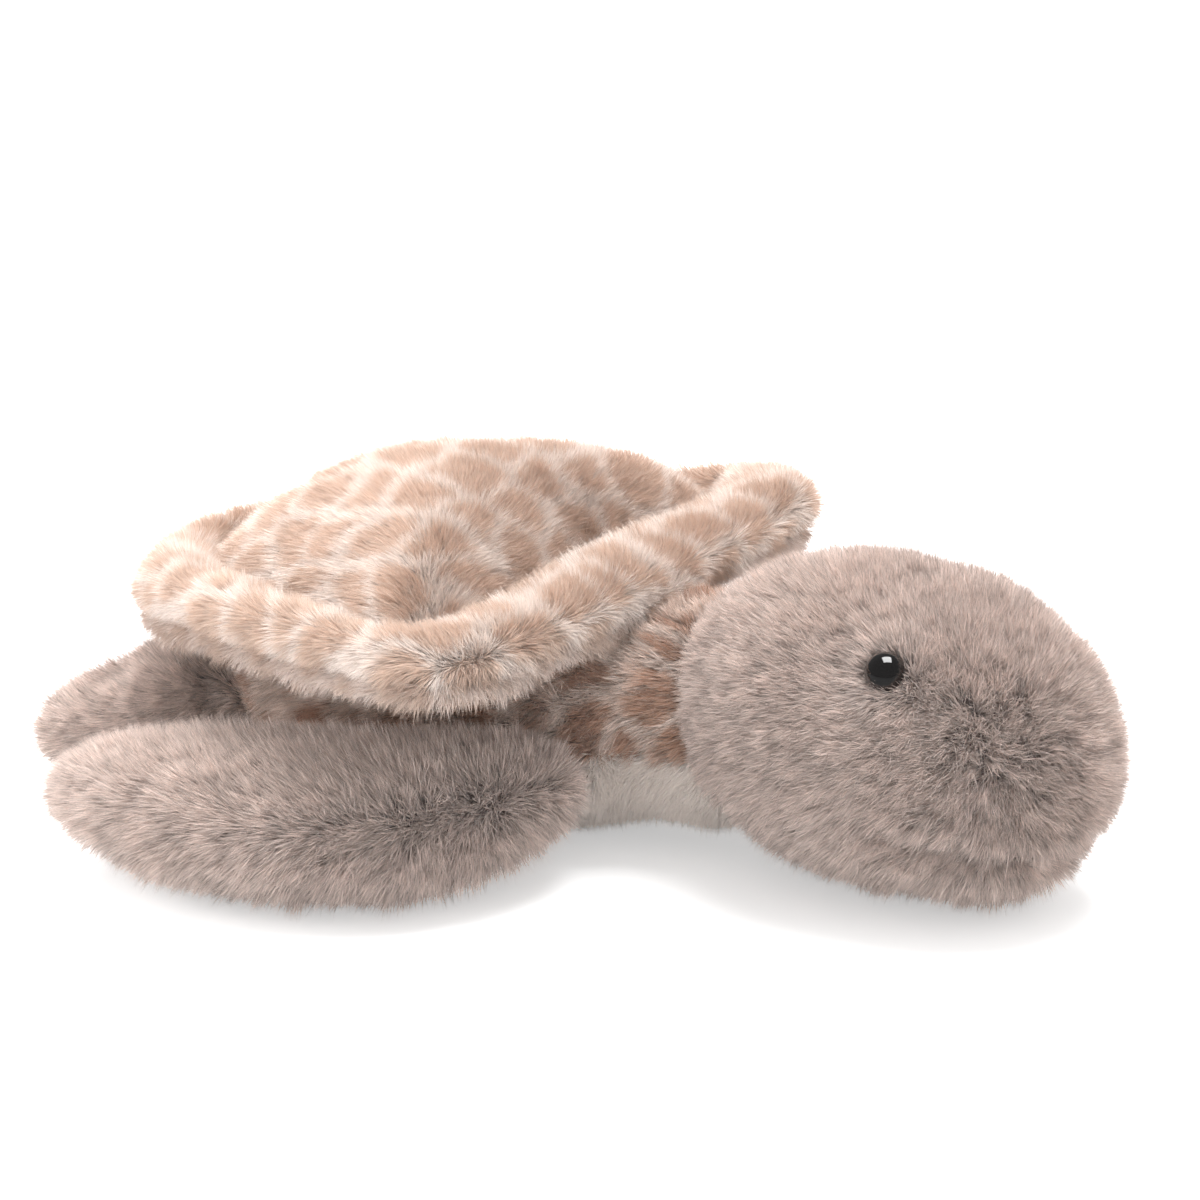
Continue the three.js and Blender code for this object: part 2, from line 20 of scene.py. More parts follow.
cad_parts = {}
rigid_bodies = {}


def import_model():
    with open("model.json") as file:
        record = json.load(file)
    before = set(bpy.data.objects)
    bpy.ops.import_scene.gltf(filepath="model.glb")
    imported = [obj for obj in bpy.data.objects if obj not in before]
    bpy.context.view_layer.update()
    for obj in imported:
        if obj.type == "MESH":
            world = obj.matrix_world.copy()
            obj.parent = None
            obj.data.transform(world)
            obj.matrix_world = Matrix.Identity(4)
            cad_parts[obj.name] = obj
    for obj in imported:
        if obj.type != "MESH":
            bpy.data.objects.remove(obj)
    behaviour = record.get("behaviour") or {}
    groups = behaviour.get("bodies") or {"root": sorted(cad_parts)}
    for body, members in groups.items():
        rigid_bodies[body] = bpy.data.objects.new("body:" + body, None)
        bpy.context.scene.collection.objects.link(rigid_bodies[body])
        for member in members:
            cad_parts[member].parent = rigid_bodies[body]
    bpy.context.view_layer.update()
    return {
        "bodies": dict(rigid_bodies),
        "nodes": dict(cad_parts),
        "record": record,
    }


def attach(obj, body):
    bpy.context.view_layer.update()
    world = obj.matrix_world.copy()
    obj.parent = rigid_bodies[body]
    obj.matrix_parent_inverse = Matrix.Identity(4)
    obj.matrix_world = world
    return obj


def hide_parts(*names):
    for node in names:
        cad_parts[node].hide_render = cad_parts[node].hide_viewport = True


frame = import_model()

log = logging.getLogger("turtle")
MM = 0.001
BAKE_MAP = "OFBake"  # a strand's place in its colour chart: tone across, root to tip upwards
SHADE_STEPS = 16  # columns of that chart
TUFT = 3  # strands that share a root
TUFT_CORNERS = np.array([0, 1, 3, 1, 2, 4, 2, 0, 5])  # of its triangles, over three feet and three tips
SHADE_SWING = 0.45  # how far a strand's shade goes from the middle
FLOOR_GAP = 0.4 * MM  # kept between the fur and the table
SKIN_GAP = 3 * FLOOR_GAP  # kept between a skin and the table
LEAST_DEPTH = 0.6 * MM  # of a skin where its form meets another, and of a strand's root in its skin
REACH = 30 * MM  # how far off another form's surface is looked for
COMES_FREE = (1.5 * MM, 6 * MM)  # distances from another form between which a skin comes free of it
ROOMY = (1 * MM, 8 * MM)  # and between which a strand gets its whole length
CROWDED = 0.6  # share of a strand's length that has room where two forms meet
LEAST_ROOM = 0.3  # share of its length up to which a strand isn't grown
SHUT_IN = 0.45  # share of the strands kept where two forms meet, which shows when they move apart
SHUT_REACH = 5 * MM  # how near above the cloth another form shuts strands in
DOWNWARDS = (0.1, 0.6)  # downward parts of a normal between which the fur gets thinner
CELL_WAYS = np.array([[127.1, 311.7, 74.7], [269.5, 183.3, 246.1], [113.5, 271.9, 124.6]])
CELL_SCALE = 43758.5453  # with the ways above, it makes random shares of a cell's place
SIDES = ("left", "right")
Colour = tuple[float, float, float]
Place = tuple[float, float, float]
Points = np.ndarray
Source = bpy.types.NodeSocket | Vector | tuple[float, ...] | float  # what a shader's input can take
Inputs = dict[str | int, Source]


class Part(Enum):
    """The record's material slots that new pieces take their finish from."""

    TAUPE = "taupe_pile"
    BODY = "spotted_body_pile"
    SHELL = "spotted_shell_pile"
    CREAM = "cream_pile"
    EYE = "black_plastic"


def linear(colour: Colour) -> tuple[float, float, float, float]:
    """Turns a screen colour into the linear one that a shader takes.

    Args:
        colour: red, green and blue from 0 to 255.

    Returns:
        The linear colour with full alpha.
    """
    shares = [value / 255 for value in colour]
    return (*[s / 12.92 if s <= 0.04045 else ((s + 0.055) / 1.055) ** 2.4 for s in shares], 1.0)


def unit(vectors: Points) -> Points:
    """Vectors scaled to a length of one."""
    return vectors / np.maximum(np.linalg.norm(vectors, axis=1, keepdims=True), 1e-9)


def smooth_step(values: Points, low: float, high: float) -> Points:
    """Values eased from 0 at low to 1 at high."""
    share = np.clip((values - low) / (high - low), 0, 1)
    return share * share * (3 - 2 * share)


def drift(points: Points, size: float, seed: float) -> Points:
    """A smooth random number from about -1 to 1 at each point.

    Args:
        points: the places.
        size: distance over which the number changes.
        seed: picks one pattern of many.

    Returns:
        One number for each point.
    """
    shift = Vector((seed * 7.3, seed * 3.1, seed * 5.7))
    return np.array([noise.noise(Vector(p) / size + shift) for p in points])


def drifts(points: Points, size: float, seed: float, step: float) -> Points:
    """Three such numbers for each point, from patterns whose seeds lie a step apart."""
    return np.stack([drift(points, size, seed + step * i) for i in range(3)], 1)


@dataclass(frozen=True)
class Spots:
    """A printed pattern of soft-edged patches with pale lanes between them."""

    pitch: float
    lane: float  # width of a lane, in pitches
    blur: float  # softness of a patch's edge, in pitches
    warp: float  # how far patches are pulled out of shape, in pitches
    speckle: float  # how unevenly single strands take the patch colour
    seed: int = 1
    middle: Place | None = None  # the top of a pad whose cloth is printed flat

    def laid_flat(self, points: Points) -> Points:
        """A pad's points with its sides folded out level, or the points as they are."""
        if self.middle is None:
            return points
        apart = points - np.array(self.middle)
        out = np.linalg.norm(apart[:, :2], axis=1, keepdims=True)
        apart[:, :2] *= 1 + np.maximum(-apart[:, 2:], 0) / np.maximum(out, self.pitch)
        apart[:, 2] = 0
        return apart

    def at(self, points: Points) -> Points:
        """How deep in a patch each point lies.

        Args:
            points: places on the cloth.

        Returns:
            From 0 in a lane to 1 inside a patch.
        """
        layers = (-1, 0, 1) if self.middle is None else (0,)
        flat = self.laid_flat(points)
        places = flat / self.pitch + self.warp * drifts(flat, 1.1 * self.pitch, self.seed, 1)
        if self.middle is not None:
            places[:, 2] = 0
        cells = np.floor(places)
        near = np.full(len(points), np.inf)
        second = near.copy()
        for step in product((-1, 0, 1), (-1, 0, 1), layers):
            cell = cells + step
            jitter = np.modf(np.abs(np.sin(cell @ CELL_WAYS.T + self.seed)) * CELL_SCALE)[0]
            apart = places - cell - 0.2 - 0.6 * jitter  # a middle keeps off the edges of its cell
            gap = np.linalg.norm(apart[:, :len(layers) // 2 + 2], axis=1)
            second = np.where(gap < near, near, np.minimum(second, gap))
            near = np.minimum(near, gap)
        return smooth_step(second - near, self.lane - self.blur, self.lane + self.blur)


@dataclass(frozen=True)
class Dye:
    """The colours of one pile cloth, and its slot in the record."""

    slot: Part
    ground: Colour
    patch: Colour
    # A strand's root is darker: painted shade that stands in for the shadow deep in the fur. Its tip is
    # lighter: partly the cloth's own paler tips, partly painted light.
    root_share: float = 0.5  # brightness of a strand's root, of its middle's
    tip_share: float = 1.15
    variety: float = 0.3  # how much strands differ in brightness
    sheen: float = 0.5
    spots: Spots | None = None


@dataclass(frozen=True)
class Pile:
    """How one cloth's fur stands. Leans are slopes: sideways for each unit upwards."""

    length: float
    density: float  # strands per square metre
    width: float = 0.44 * MM
    lean: float = 1.0  # along the nap
    wave: float = 0.4  # in broad waves
    stray: float = 0.25  # from lock to lock
    untidy: float = 0.3  # from strand to strand
    lock: float = 1.8 * MM  # distance between the locks that strands gather in
    gather: float = 0.25
    mottle: float = 0.3  # share of the shade that a lock's strands have in common
    uneven: float = 0.12  # how much strands differ in length
    locks_uneven: float = 0.08  # how much locks do


@dataclass(frozen=True)
class Comb:
    """The way that the nap leans on a form."""

    nap: Place
    hang: float  # downward pull

    def leans(self, points: Points, normals: Points) -> Points:
        """The nap's lean along the cloth at each point.

        Args:
            points: places on the cloth.
            normals: outward unit normals there.

        Returns:
            Vectors along the cloth, of a length up to about one.
        """
        way = np.tile(np.array(self.nap, float), (len(points), 1))
        way[:, 2] -= self.hang
        return way - (way * normals).sum(1, keepdims=True) * normals


# Each dye's root shade darkens its strands towards the root: painted shade deep in the fur.
TAUPE = Dye(
    Part.TAUPE, (205, 189, 181), (205, 189, 181), root_share=0.62, tip_share=1.34, variety=1.1,
)
SHELL_DYE = Dye(
    Part.SHELL, (242, 230, 222), (220, 195, 178), root_share=0.84, tip_share=1.06, variety=0.4,
    spots=Spots(
        pitch=29 * MM, lane=0.2, blur=0.11, warp=0.45, speckle=0.1, seed=3, middle=(-0.05, 0.0, 0.12),
    ),
)
BODY_DYE = Dye(
    Part.BODY, (232, 216, 206), (186, 149, 128), root_share=0.66, tip_share=1.2, variety=0.9,
    spots=Spots(pitch=24 * MM, lane=0.16, blur=0.14, warp=0.7, speckle=0.2, seed=8),
)
# The underside's cloth, printed like the shell's, in colours darker than its cream: painted shade where
# the rim's underside faces the table.
SHADED_UNDER_DYE = Dye(
    Part.CREAM, (224, 208, 199), (208, 186, 172), root_share=0.8, variety=0.25, spots=SHELL_DYE.spots,
)
CREAM = Dye(
    Part.CREAM, (252, 242, 234), (252, 242, 234),
    root_share=1.0, tip_share=1.0, variety=0.06, sheen=1.0,
)


class Graph:
    """A shader's node tree, to which nodes are added."""

    def __init__(self, tree: bpy.types.NodeTree) -> None:
        """Takes the tree to add to."""
        self.tree = tree

    def feed(self, node: bpy.types.Node, inputs: Inputs) -> None:
        """Sets a node's inputs, each from another node's output or to a plain value."""
        for name, value in inputs.items():
            if isinstance(value, bpy.types.NodeSocket):
                self.tree.links.new(value, node.inputs[name])
            else:
                node.inputs[name].default_value = value

    def finish(self, inputs: Inputs) -> None:
        """Sets the inputs of the tree's own Principled shader."""
        self.feed(self.tree.nodes["Principled BSDF"], inputs)

    def node(self, kind: str, inputs: Inputs | None = None) -> bpy.types.Node:
        """Adds one node with its inputs."""
        made = self.tree.nodes.new(kind)
        self.feed(made, inputs or {})
        return made

    def maths(self, operation: str, *values: Source) -> bpy.types.NodeSocket:
        """Adds one maths node and returns its result."""
        made = self.node("ShaderNodeMath", dict(enumerate(values)))
        made.operation = operation
        return made.outputs[0]

    def ranged(self, value: Source, limits: Inputs) -> bpy.types.NodeSocket:
        """Fits a value into other limits."""
        return self.node("ShaderNodeMapRange", {"Value": value, **limits}).outputs[0]

    def blend(self, share: Source, first: Source, second: Source) -> bpy.types.NodeSocket:
        """Mixes two colours."""
        made = self.node("ShaderNodeMix")
        made.data_type = "RGBA"
        self.feed(made, {"Factor": share, "A": first, "B": second})
        return made.outputs["Result"]

    def grain(self, **sizes: float) -> bpy.types.NodeSocket:
        """A noise that rides with the piece."""
        place = self.node("ShaderNodeTexCoord").outputs["Object"]
        return self.node("ShaderNodeTexNoise", {"Vector": place, **sizes}).outputs["Fac"]


class ToneGroup:
    """The shader node group that every pile cloth shares: a strand's colour from root to tip, darker
    towards the root as painted shade deep in the fur.
    """

    NAME = "PileTone"
    MIDDLE = 0.55  # how far up a strand its colour is neither darker nor lighter

    @classmethod
    def tree(cls) -> bpy.types.NodeTree:
        """Makes the group once.

        Returns:
            The group's node tree.
        """
        if cls.NAME in bpy.data.node_groups:
            return bpy.data.node_groups[cls.NAME]
        tree = bpy.data.node_groups.new(cls.NAME, "ShaderNodeTree")
        colour, number = "NodeSocketColor", "NodeSocketFloat"
        for way, kind, names in (
            ("INPUT", colour, ("Ground", "Patch")),
            ("INPUT", number, ("In Patch", "Along", "Shade", "Root Share", "Tip Share", "Variety")),
            ("OUTPUT", colour, ("Colour",)),
            ("OUTPUT", number, ("Roughness",)),
        ):
            for name in names:
                tree.interface.new_socket(name, in_out=way, socket_type=kind)
        graph = Graph(tree)
        given = graph.node("NodeGroupInput").outputs
        along = given["Along"]
        dyed = graph.blend(given["In Patch"], given["Ground"], given["Patch"])
        # Darker towards the root: painted shade deep in the fur. Lighter towards the tip: partly the
        # cloth's own paler tips, partly painted light.
        lower = graph.node("ShaderNodeMapRange", {
            "Value": along, "From Max": cls.MIDDLE, "To Min": given["Root Share"],
        })
        lower.interpolation_type = "SMOOTHSTEP"
        upper = graph.ranged(along, {
            "From Min": cls.MIDDLE, "To Min": 1.0, "To Max": given["Tip Share"],
        })
        light = graph.maths("MULTIPLY", lower.outputs[0], upper)
        centred = graph.maths("SUBTRACT", given["Shade"], 0.5)
        swing = graph.maths("MULTIPLY_ADD", centred, given["Variety"], 1.0)
        scaled = graph.node("ShaderNodeVectorMath")
        scaled.operation = "SCALE"
        graph.feed(scaled, {0: dyed, "Scale": graph.maths("MULTIPLY", light, swing)})
        graph.node("NodeGroupOutput", {
            "Colour": scaled.outputs[0],
            "Roughness": graph.ranged(along, {"To Min": 0.95, "To Max": 0.6}),
        })
        return tree


class Finishes:
    """Makes each material once, by name."""

    @staticmethod
    def start(name: str) -> tuple[bpy.types.Material, Graph]:
        """A new material and the graph of its nodes."""
        material = bpy.data.materials.new(name)
        material.use_nodes = True
        return material, Graph(material.node_tree)

    @classmethod
    def fur(cls, dye: Dye) -> bpy.types.Material:
        """The finish of a strand, read from the values that each strand carries.

        Args:
            dye: the cloth's colours.

        Returns:
            The material.
        """
        name = f"{dye.slot.value}_fur_{'_'.join(str(value) for value in dye.ground)}"
        if name in bpy.data.materials:
            return bpy.data.materials[name]
        material, graph = cls.start(name)
        tone = graph.node("ShaderNodeGroup")
        tone.node_tree = ToneGroup.tree()
        for socket, attribute in (("In Patch", "patch"), ("Along", "along"), ("Shade", "shade")):
            read = graph.node("ShaderNodeAttribute")
            read.attribute_name = attribute
            graph.feed(tone, {socket: read.outputs["Fac"]})
        graph.feed(tone, {
            "Ground": linear(dye.ground),
            "Patch": linear(dye.patch),
            "Root Share": dye.root_share,
            "Tip Share": dye.tip_share,
            "Variety": dye.variety,
        })
        graph.finish({
            "Base Color": tone.outputs["Colour"],
            "Roughness": tone.outputs["Roughness"],
            "Sheen Weight": dye.sheen,
            "Sheen Roughness": 0.45,
            "Specular IOR Level": 0.25,
        })
        return material

    @classmethod
    def backing(cls, dye: Dye) -> bpy.types.Material:
        """The knitted backing under the fur: the roots' colour, darkened by the painted root shade so
        that the gaps between strands look shaded, with a fine knit.

        Args:
            dye: the cloth's colours.

        Returns:
            The material.
        """
        name = dye.slot.value + "_backing"
        if name in bpy.data.materials:
            return bpy.data.materials[name]
        material, graph = cls.start(name)
        knit = graph.grain(Scale=900, Detail=3)
        # the cloth's colour darkened as the roots are: painted shade between the strands
        middle = [(2 * a + b) / 3 * dye.root_share for a, b in zip(dye.patch, dye.ground)]
        dark, light = (linear([share * value for value in middle]) for share in (0.75, 1.2))
        bump = graph.node("ShaderNodeBump", {"Distance": 0.3 * MM, "Height": knit})
        graph.finish({
            "Base Color": graph.blend(knit, dark, light),
            "Normal": bump.outputs["Normal"],
            "Roughness": 0.95,
        })
        return material

    @classmethod
    def glossy_eye(cls) -> bpy.types.Material:
        """Moulded black plastic with a polished dome and a faint mould texture."""
        name = "eye_gloss"
        if name in bpy.data.materials:
            return bpy.data.materials[name]
        material, graph = cls.start(name)
        graph.finish({
            "Base Color": linear((14, 12, 12)),
            "Roughness": graph.ranged(graph.grain(Scale=260), {"To Min": 0.04, "To Max": 0.1}),
            "IOR": 1.55,
            "Coat Weight": 0.6,
            "Coat Roughness": 0.03,
        })
        return material

    @classmethod
    def washer(cls) -> bpy.types.Material:
        """Plain moulded plastic of the eyes' washers, which the cloth hides."""
        material, graph = cls.start("washer_plastic")
        pale, paler = linear((205, 205, 200)), linear((222, 222, 218))
        graph.finish({
            "Base Color": graph.blend(graph.grain(Scale=300), pale, paler),
            "Roughness": 0.45,
        })
        return material


def meshed(shape: bmesh.types.BMesh, name: str) -> bpy.types.Mesh:
    """Turns a bmesh into a named mesh."""
    mesh = bpy.data.meshes.new(name)
    shape.to_mesh(mesh)
    shape.free()
    return mesh


def place_object(name: str, mesh: bpy.types.Mesh) -> bpy.types.Object:
    """Adds a mesh to the scene as an object at the origin."""
    placed = bpy.data.objects.new(name, mesh)
    bpy.context.scene.collection.objects.link(placed)
    return placed


def applied(piece: bpy.types.Object) -> bpy.types.Mesh:
    """The piece's mesh with its modifiers applied."""
    graph = bpy.context.evaluated_depsgraph_get()
    return bpy.data.meshes.new_from_object(piece.evaluated_get(graph), depsgraph=graph)


def coordinates(mesh: bpy.types.Mesh) -> Points:
    """Every vertex of a mesh as an array."""
    places = np.empty(3 * len(mesh.vertices), np.float32)
    mesh.vertices.foreach_get("co", places)
    return places.reshape(-1, 3).astype(float)


def node_shape(names: tuple[str, ...]) -> bmesh.types.BMesh:
    """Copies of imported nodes, merged, in one bmesh."""
    shape = bmesh.new()
    for name in names:
        shape.from_mesh(frame["nodes"][name].data)
    bmesh.ops.remove_doubles(shape, verts=shape.verts, dist=0.001 * MM)
    return shape


def surface_tree(names: tuple[str, ...]) -> BVHTree:
    """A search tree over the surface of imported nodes."""
    shape = node_shape(names)
    tree = BVHTree.FromBMesh(shape)
    shape.free()
    return tree


def distances(tree: BVHTree, points: Points) -> Points:
    """How far each point is from a surface, up to the reach."""
    found = (tree.find_nearest(Vector(p), REACH)[3] for p in points)
    return np.array([REACH if gap is None else gap for gap in found])


@dataclass(frozen=True)
class Seam:
    """A seam, or a line of stitches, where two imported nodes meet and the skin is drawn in."""

    first: str
    second: str
    depth: float
    reach: float  # to either side
    gate: float = 14 * MM  # most distance from both nodes
    start: float = -1.0  # place along, ahead of which it shows
    shift: float = 0.0  # how far from the nodes' edge it lies, on the second node's side

    def shares(self, points: Points) -> Points:
        """How near the seam each point lies, from 0 to 1 on it."""
        one, two = (distances(surface_tree((node,)), points) for node in (self.first, self.second))
        share = 1 - smooth_step(np.abs(one - two - self.shift), 0.1 * self.reach, self.reach)
        share *= smooth_step(points[:, 0], self.start - 12 * MM, self.start + 12 * MM)
        return share * (1 - smooth_step(np.maximum(one, two), 0.8 * self.gate, self.gate))


@dataclass(frozen=True)
class Puff:
    """A place where the filling stands fuller, or with a height below zero, slacker."""

    place: Place
    radius: float
    height: float

    def rises(self, points: Points) -> Points:
        """How much further out each point lies."""
        far = np.linalg.norm(points - np.array(self.place), axis=1)
        return self.height * (1 - smooth_step(far, 0, self.radius))

    def pair(self) -> tuple["Puff", "Puff"]:
        """The same puff on this side and on the other one."""
        along, out, up = self.place
        return self, Puff((along, -out, up), self.radius, self.height)


@dataclass(frozen=True)
class Socket:
    """The dimple that an eye sits in. Heights are along the eye's axis, from the fur's surface."""

    seat: Vector  # where the eye's axis meets the fur's surface
    way: Vector  # outwards
    floor: float = -3.8 * MM  # height of the skin under the eye
    curve: float = 55 * MM  # radius that the skin curves away with
    bare: float = 5.0 * MM  # radius without fur
    full: float = 14 * MM  # radius from which the fur is whole
    least: float = 0.62  # share of the fur's length at the eye

    def spans(self, points: Points) -> tuple[Points, Points]:
        """Each point's distance from the eye's axis, and its height."""
        apart = points - np.array(self.seat)
        height = apart @ np.array(self.way)
        flat = np.linalg.norm(apart - height[:, None] * np.array(self.way), axis=1)
        return np.where(np.abs(height) < 2 * self.full, flat, 9 * self.full), height

    def seated(self, points: Points) -> Points:
        """Skin points moved onto the socket's floor near the eye."""
        flat, height = self.spans(points)
        share = 1 - smooth_step(flat, 0.62 * self.full, self.full)
        move = (self.floor - flat**2 / (2 * self.curve) - height) * share
        return points + move[:, None] * np.array(self.way)

    def room(self, points: Points) -> Points:
        """The share of its length that the fur has at each point, 0 under the eye."""
        flat = self.spans(points)[0]
        share = self.least + (1 - self.least) * smooth_step(flat, 1.1 * self.bare, self.full)
        return np.where(flat < self.bare, 0, share)

    def leans(self, points: Points) -> Points:
        """The lean away from the eye at each point."""
        flat = self.spans(points)[0][:, None]
        away = unit(points - np.array(self.seat))
        return 0.1 * (1 - smooth_step(flat, self.bare, self.full)) * away


@dataclass
class Skin:
    """The cloth backing of one stuffed form, swelled by its filling and drawn in at its seams."""

    name: str
    body: str
    nodes: tuple[str, ...]
    touches: tuple[str, ...]
    seams: tuple[Seam, ...] = ()
    dye: Dye = TAUPE
    depth: float = 5.4 * MM  # of the cloth under the fur's outer surface
    swell: float = 2.0 * MM
    lumps: float = 1.2 * MM  # rise and fall of the filling under the cloth
    lump_size: float = 26 * MM
    pressure: float = 4  # of the filling, in the simulation
    stretch: float = 12  # stiffness of the cloth against it
    bend: float = 0.6
    frames: int = 20  # that it is simulated for
    voxel: float = 4 * MM
    fill: float = 0.7
    sockets: tuple[Socket, ...] = ()
    puffs: tuple[Puff, ...] = ()
    smooths: int = 8
    piece: bpy.types.Object | None = None

    def rough_out(self) -> bpy.types.Object:
        """One closed skin over the form's panels and filling.

        Returns:
            The object that the other steps change.
        """
        piece = place_object(self.name, meshed(node_shape(self.nodes), self.name))
        remesh = piece.modifiers.new("Voxels", "REMESH")
        remesh.mode = "VOXEL"
        remesh.voxel_size = self.voxel
        piece.data = applied(piece)
        piece.modifiers.clear()
        return piece

    def smooth(self, piece: bpy.types.Object) -> None:
        """Evens out the skin's points."""
        shape = bmesh.new()
        shape.from_mesh(piece.data)
        for _ in range(self.smooths):
            bmesh.ops.smooth_vert(
                shape, verts=shape.verts, factor=0.5,
                use_axis_x=True, use_axis_y=True, use_axis_z=True,
            )
        shape.to_mesh(piece.data)
        shape.free()

    def draw_in(self, piece: bpy.types.Object) -> Points:
        """Moves the skin in by the depth of its fur, less where it meets another form, more at seams.

        Args:
            piece: the smoothed skin.

        Returns:
            How firmly each point is held while the skin swells, from 0 to 1.
        """
        places = coordinates(piece.data)
        normals = np.array([v.normal for v in piece.data.vertices])
        free = smooth_step(distances(surface_tree(self.touches), places), *COMES_FREE)
        depth = self.depth - LEAST_DEPTH + self.lumps * drift(places, self.lump_size, 5)
        for puff in self.puffs:
            depth -= puff.rises(places)
        depth = LEAST_DEPTH + depth * free
        held = 1 - free
        for seam in self.seams:
            share = seam.shares(places)
            depth = depth + seam.depth * share * free
            held = np.maximum(held, smooth_step(share, 0.2, 0.9))
        moved = places - normals * depth[:, None]
        for socket in self.sockets:
            moved = socket.seated(moved)
            near_eye = 1 - smooth_step(socket.spans(places)[0], 0.7 * socket.full, socket.full)
            held = np.maximum(held, near_eye)
        self.settle(piece, moved)
        return held

    def settle(self, piece: bpy.types.Object, places: Points) -> None:
        """Moves the skin's points to new places, but none into the table."""
        places[:, 2] = np.maximum(places[:, 2], SKIN_GAP)
        piece.data.vertices.foreach_set("co", places.ravel())
        piece.data.update()

    def stuff(self, piece: bpy.types.Object, held: Points) -> None:
        """Swells the skin with Cloth, held at its seams and where it meets another form."""
        before = coordinates(piece.data)
        group = piece.vertex_groups.new(name="held")
        for index, share in enumerate(held):
            if share > 0.05:
                group.add([index], float(share), "REPLACE")
        cloth = piece.modifiers.new("Swell", "CLOTH")
        settings = cloth.settings
        settings.vertex_group_mass = "held"
        settings.use_pressure = True
        settings.uniform_pressure_force = self.pressure
        settings.tension_stiffness = settings.compression_stiffness = self.stretch
        settings.bending_stiffness = self.bend
        settings.effector_weights.gravity = 0
        scene = bpy.context.scene
        for step in range(1, self.frames + 1):
            scene.frame_set(step)
        after = coordinates(applied(piece))
        scene.frame_set(1)
        piece.modifiers.clear()
        piece.vertex_groups.clear()
        move = after - before
        size = np.linalg.norm(move, axis=1, keepdims=True)
        move *= np.minimum(1, self.swell / np.maximum(size, 1e-9)) * (1 - held[:, None])
        self.settle(piece, before + move)

    def build(self) -> "Skin":
        """Makes the skin's piece and its finish, and rides it on its body.

        Returns:
            The skin itself.
        """
        piece = self.piece = self.rough_out()
        self.smooth(piece)
        held = self.draw_in(piece)
        self.stuff(piece, held)
        rounder = piece.modifiers.new("Round", "SUBSURF")
        rounder.levels = rounder.render_levels = 1
        piece.data = applied(piece)
        piece.modifiers.clear()
        piece.data.shade_smooth()
        piece.data.materials.clear()
        piece.data.materials.append(Finishes.backing(self.dye))
        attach(piece, self.body)
        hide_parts(*self.nodes)
        log.info("%s: %d faces", self.name, len(piece.data.polygons))
        return self


@dataclass(frozen=True)
class Roots:
    """Where the strands of one form grow."""

    points: Points
    normals: Points
    leans: Points  # along the cloth, from the nap and its waves
    free: Points  # share of a strand's length that has room

    def __len__(self) -> int:
        """How many tufts there are."""
        return len(self.points)

    def where(self, kept: Points) -> "Roots":
        """Only the roots that are kept."""
        return Roots(self.points[kept], self.normals[kept], self.leans[kept], self.free[kept])


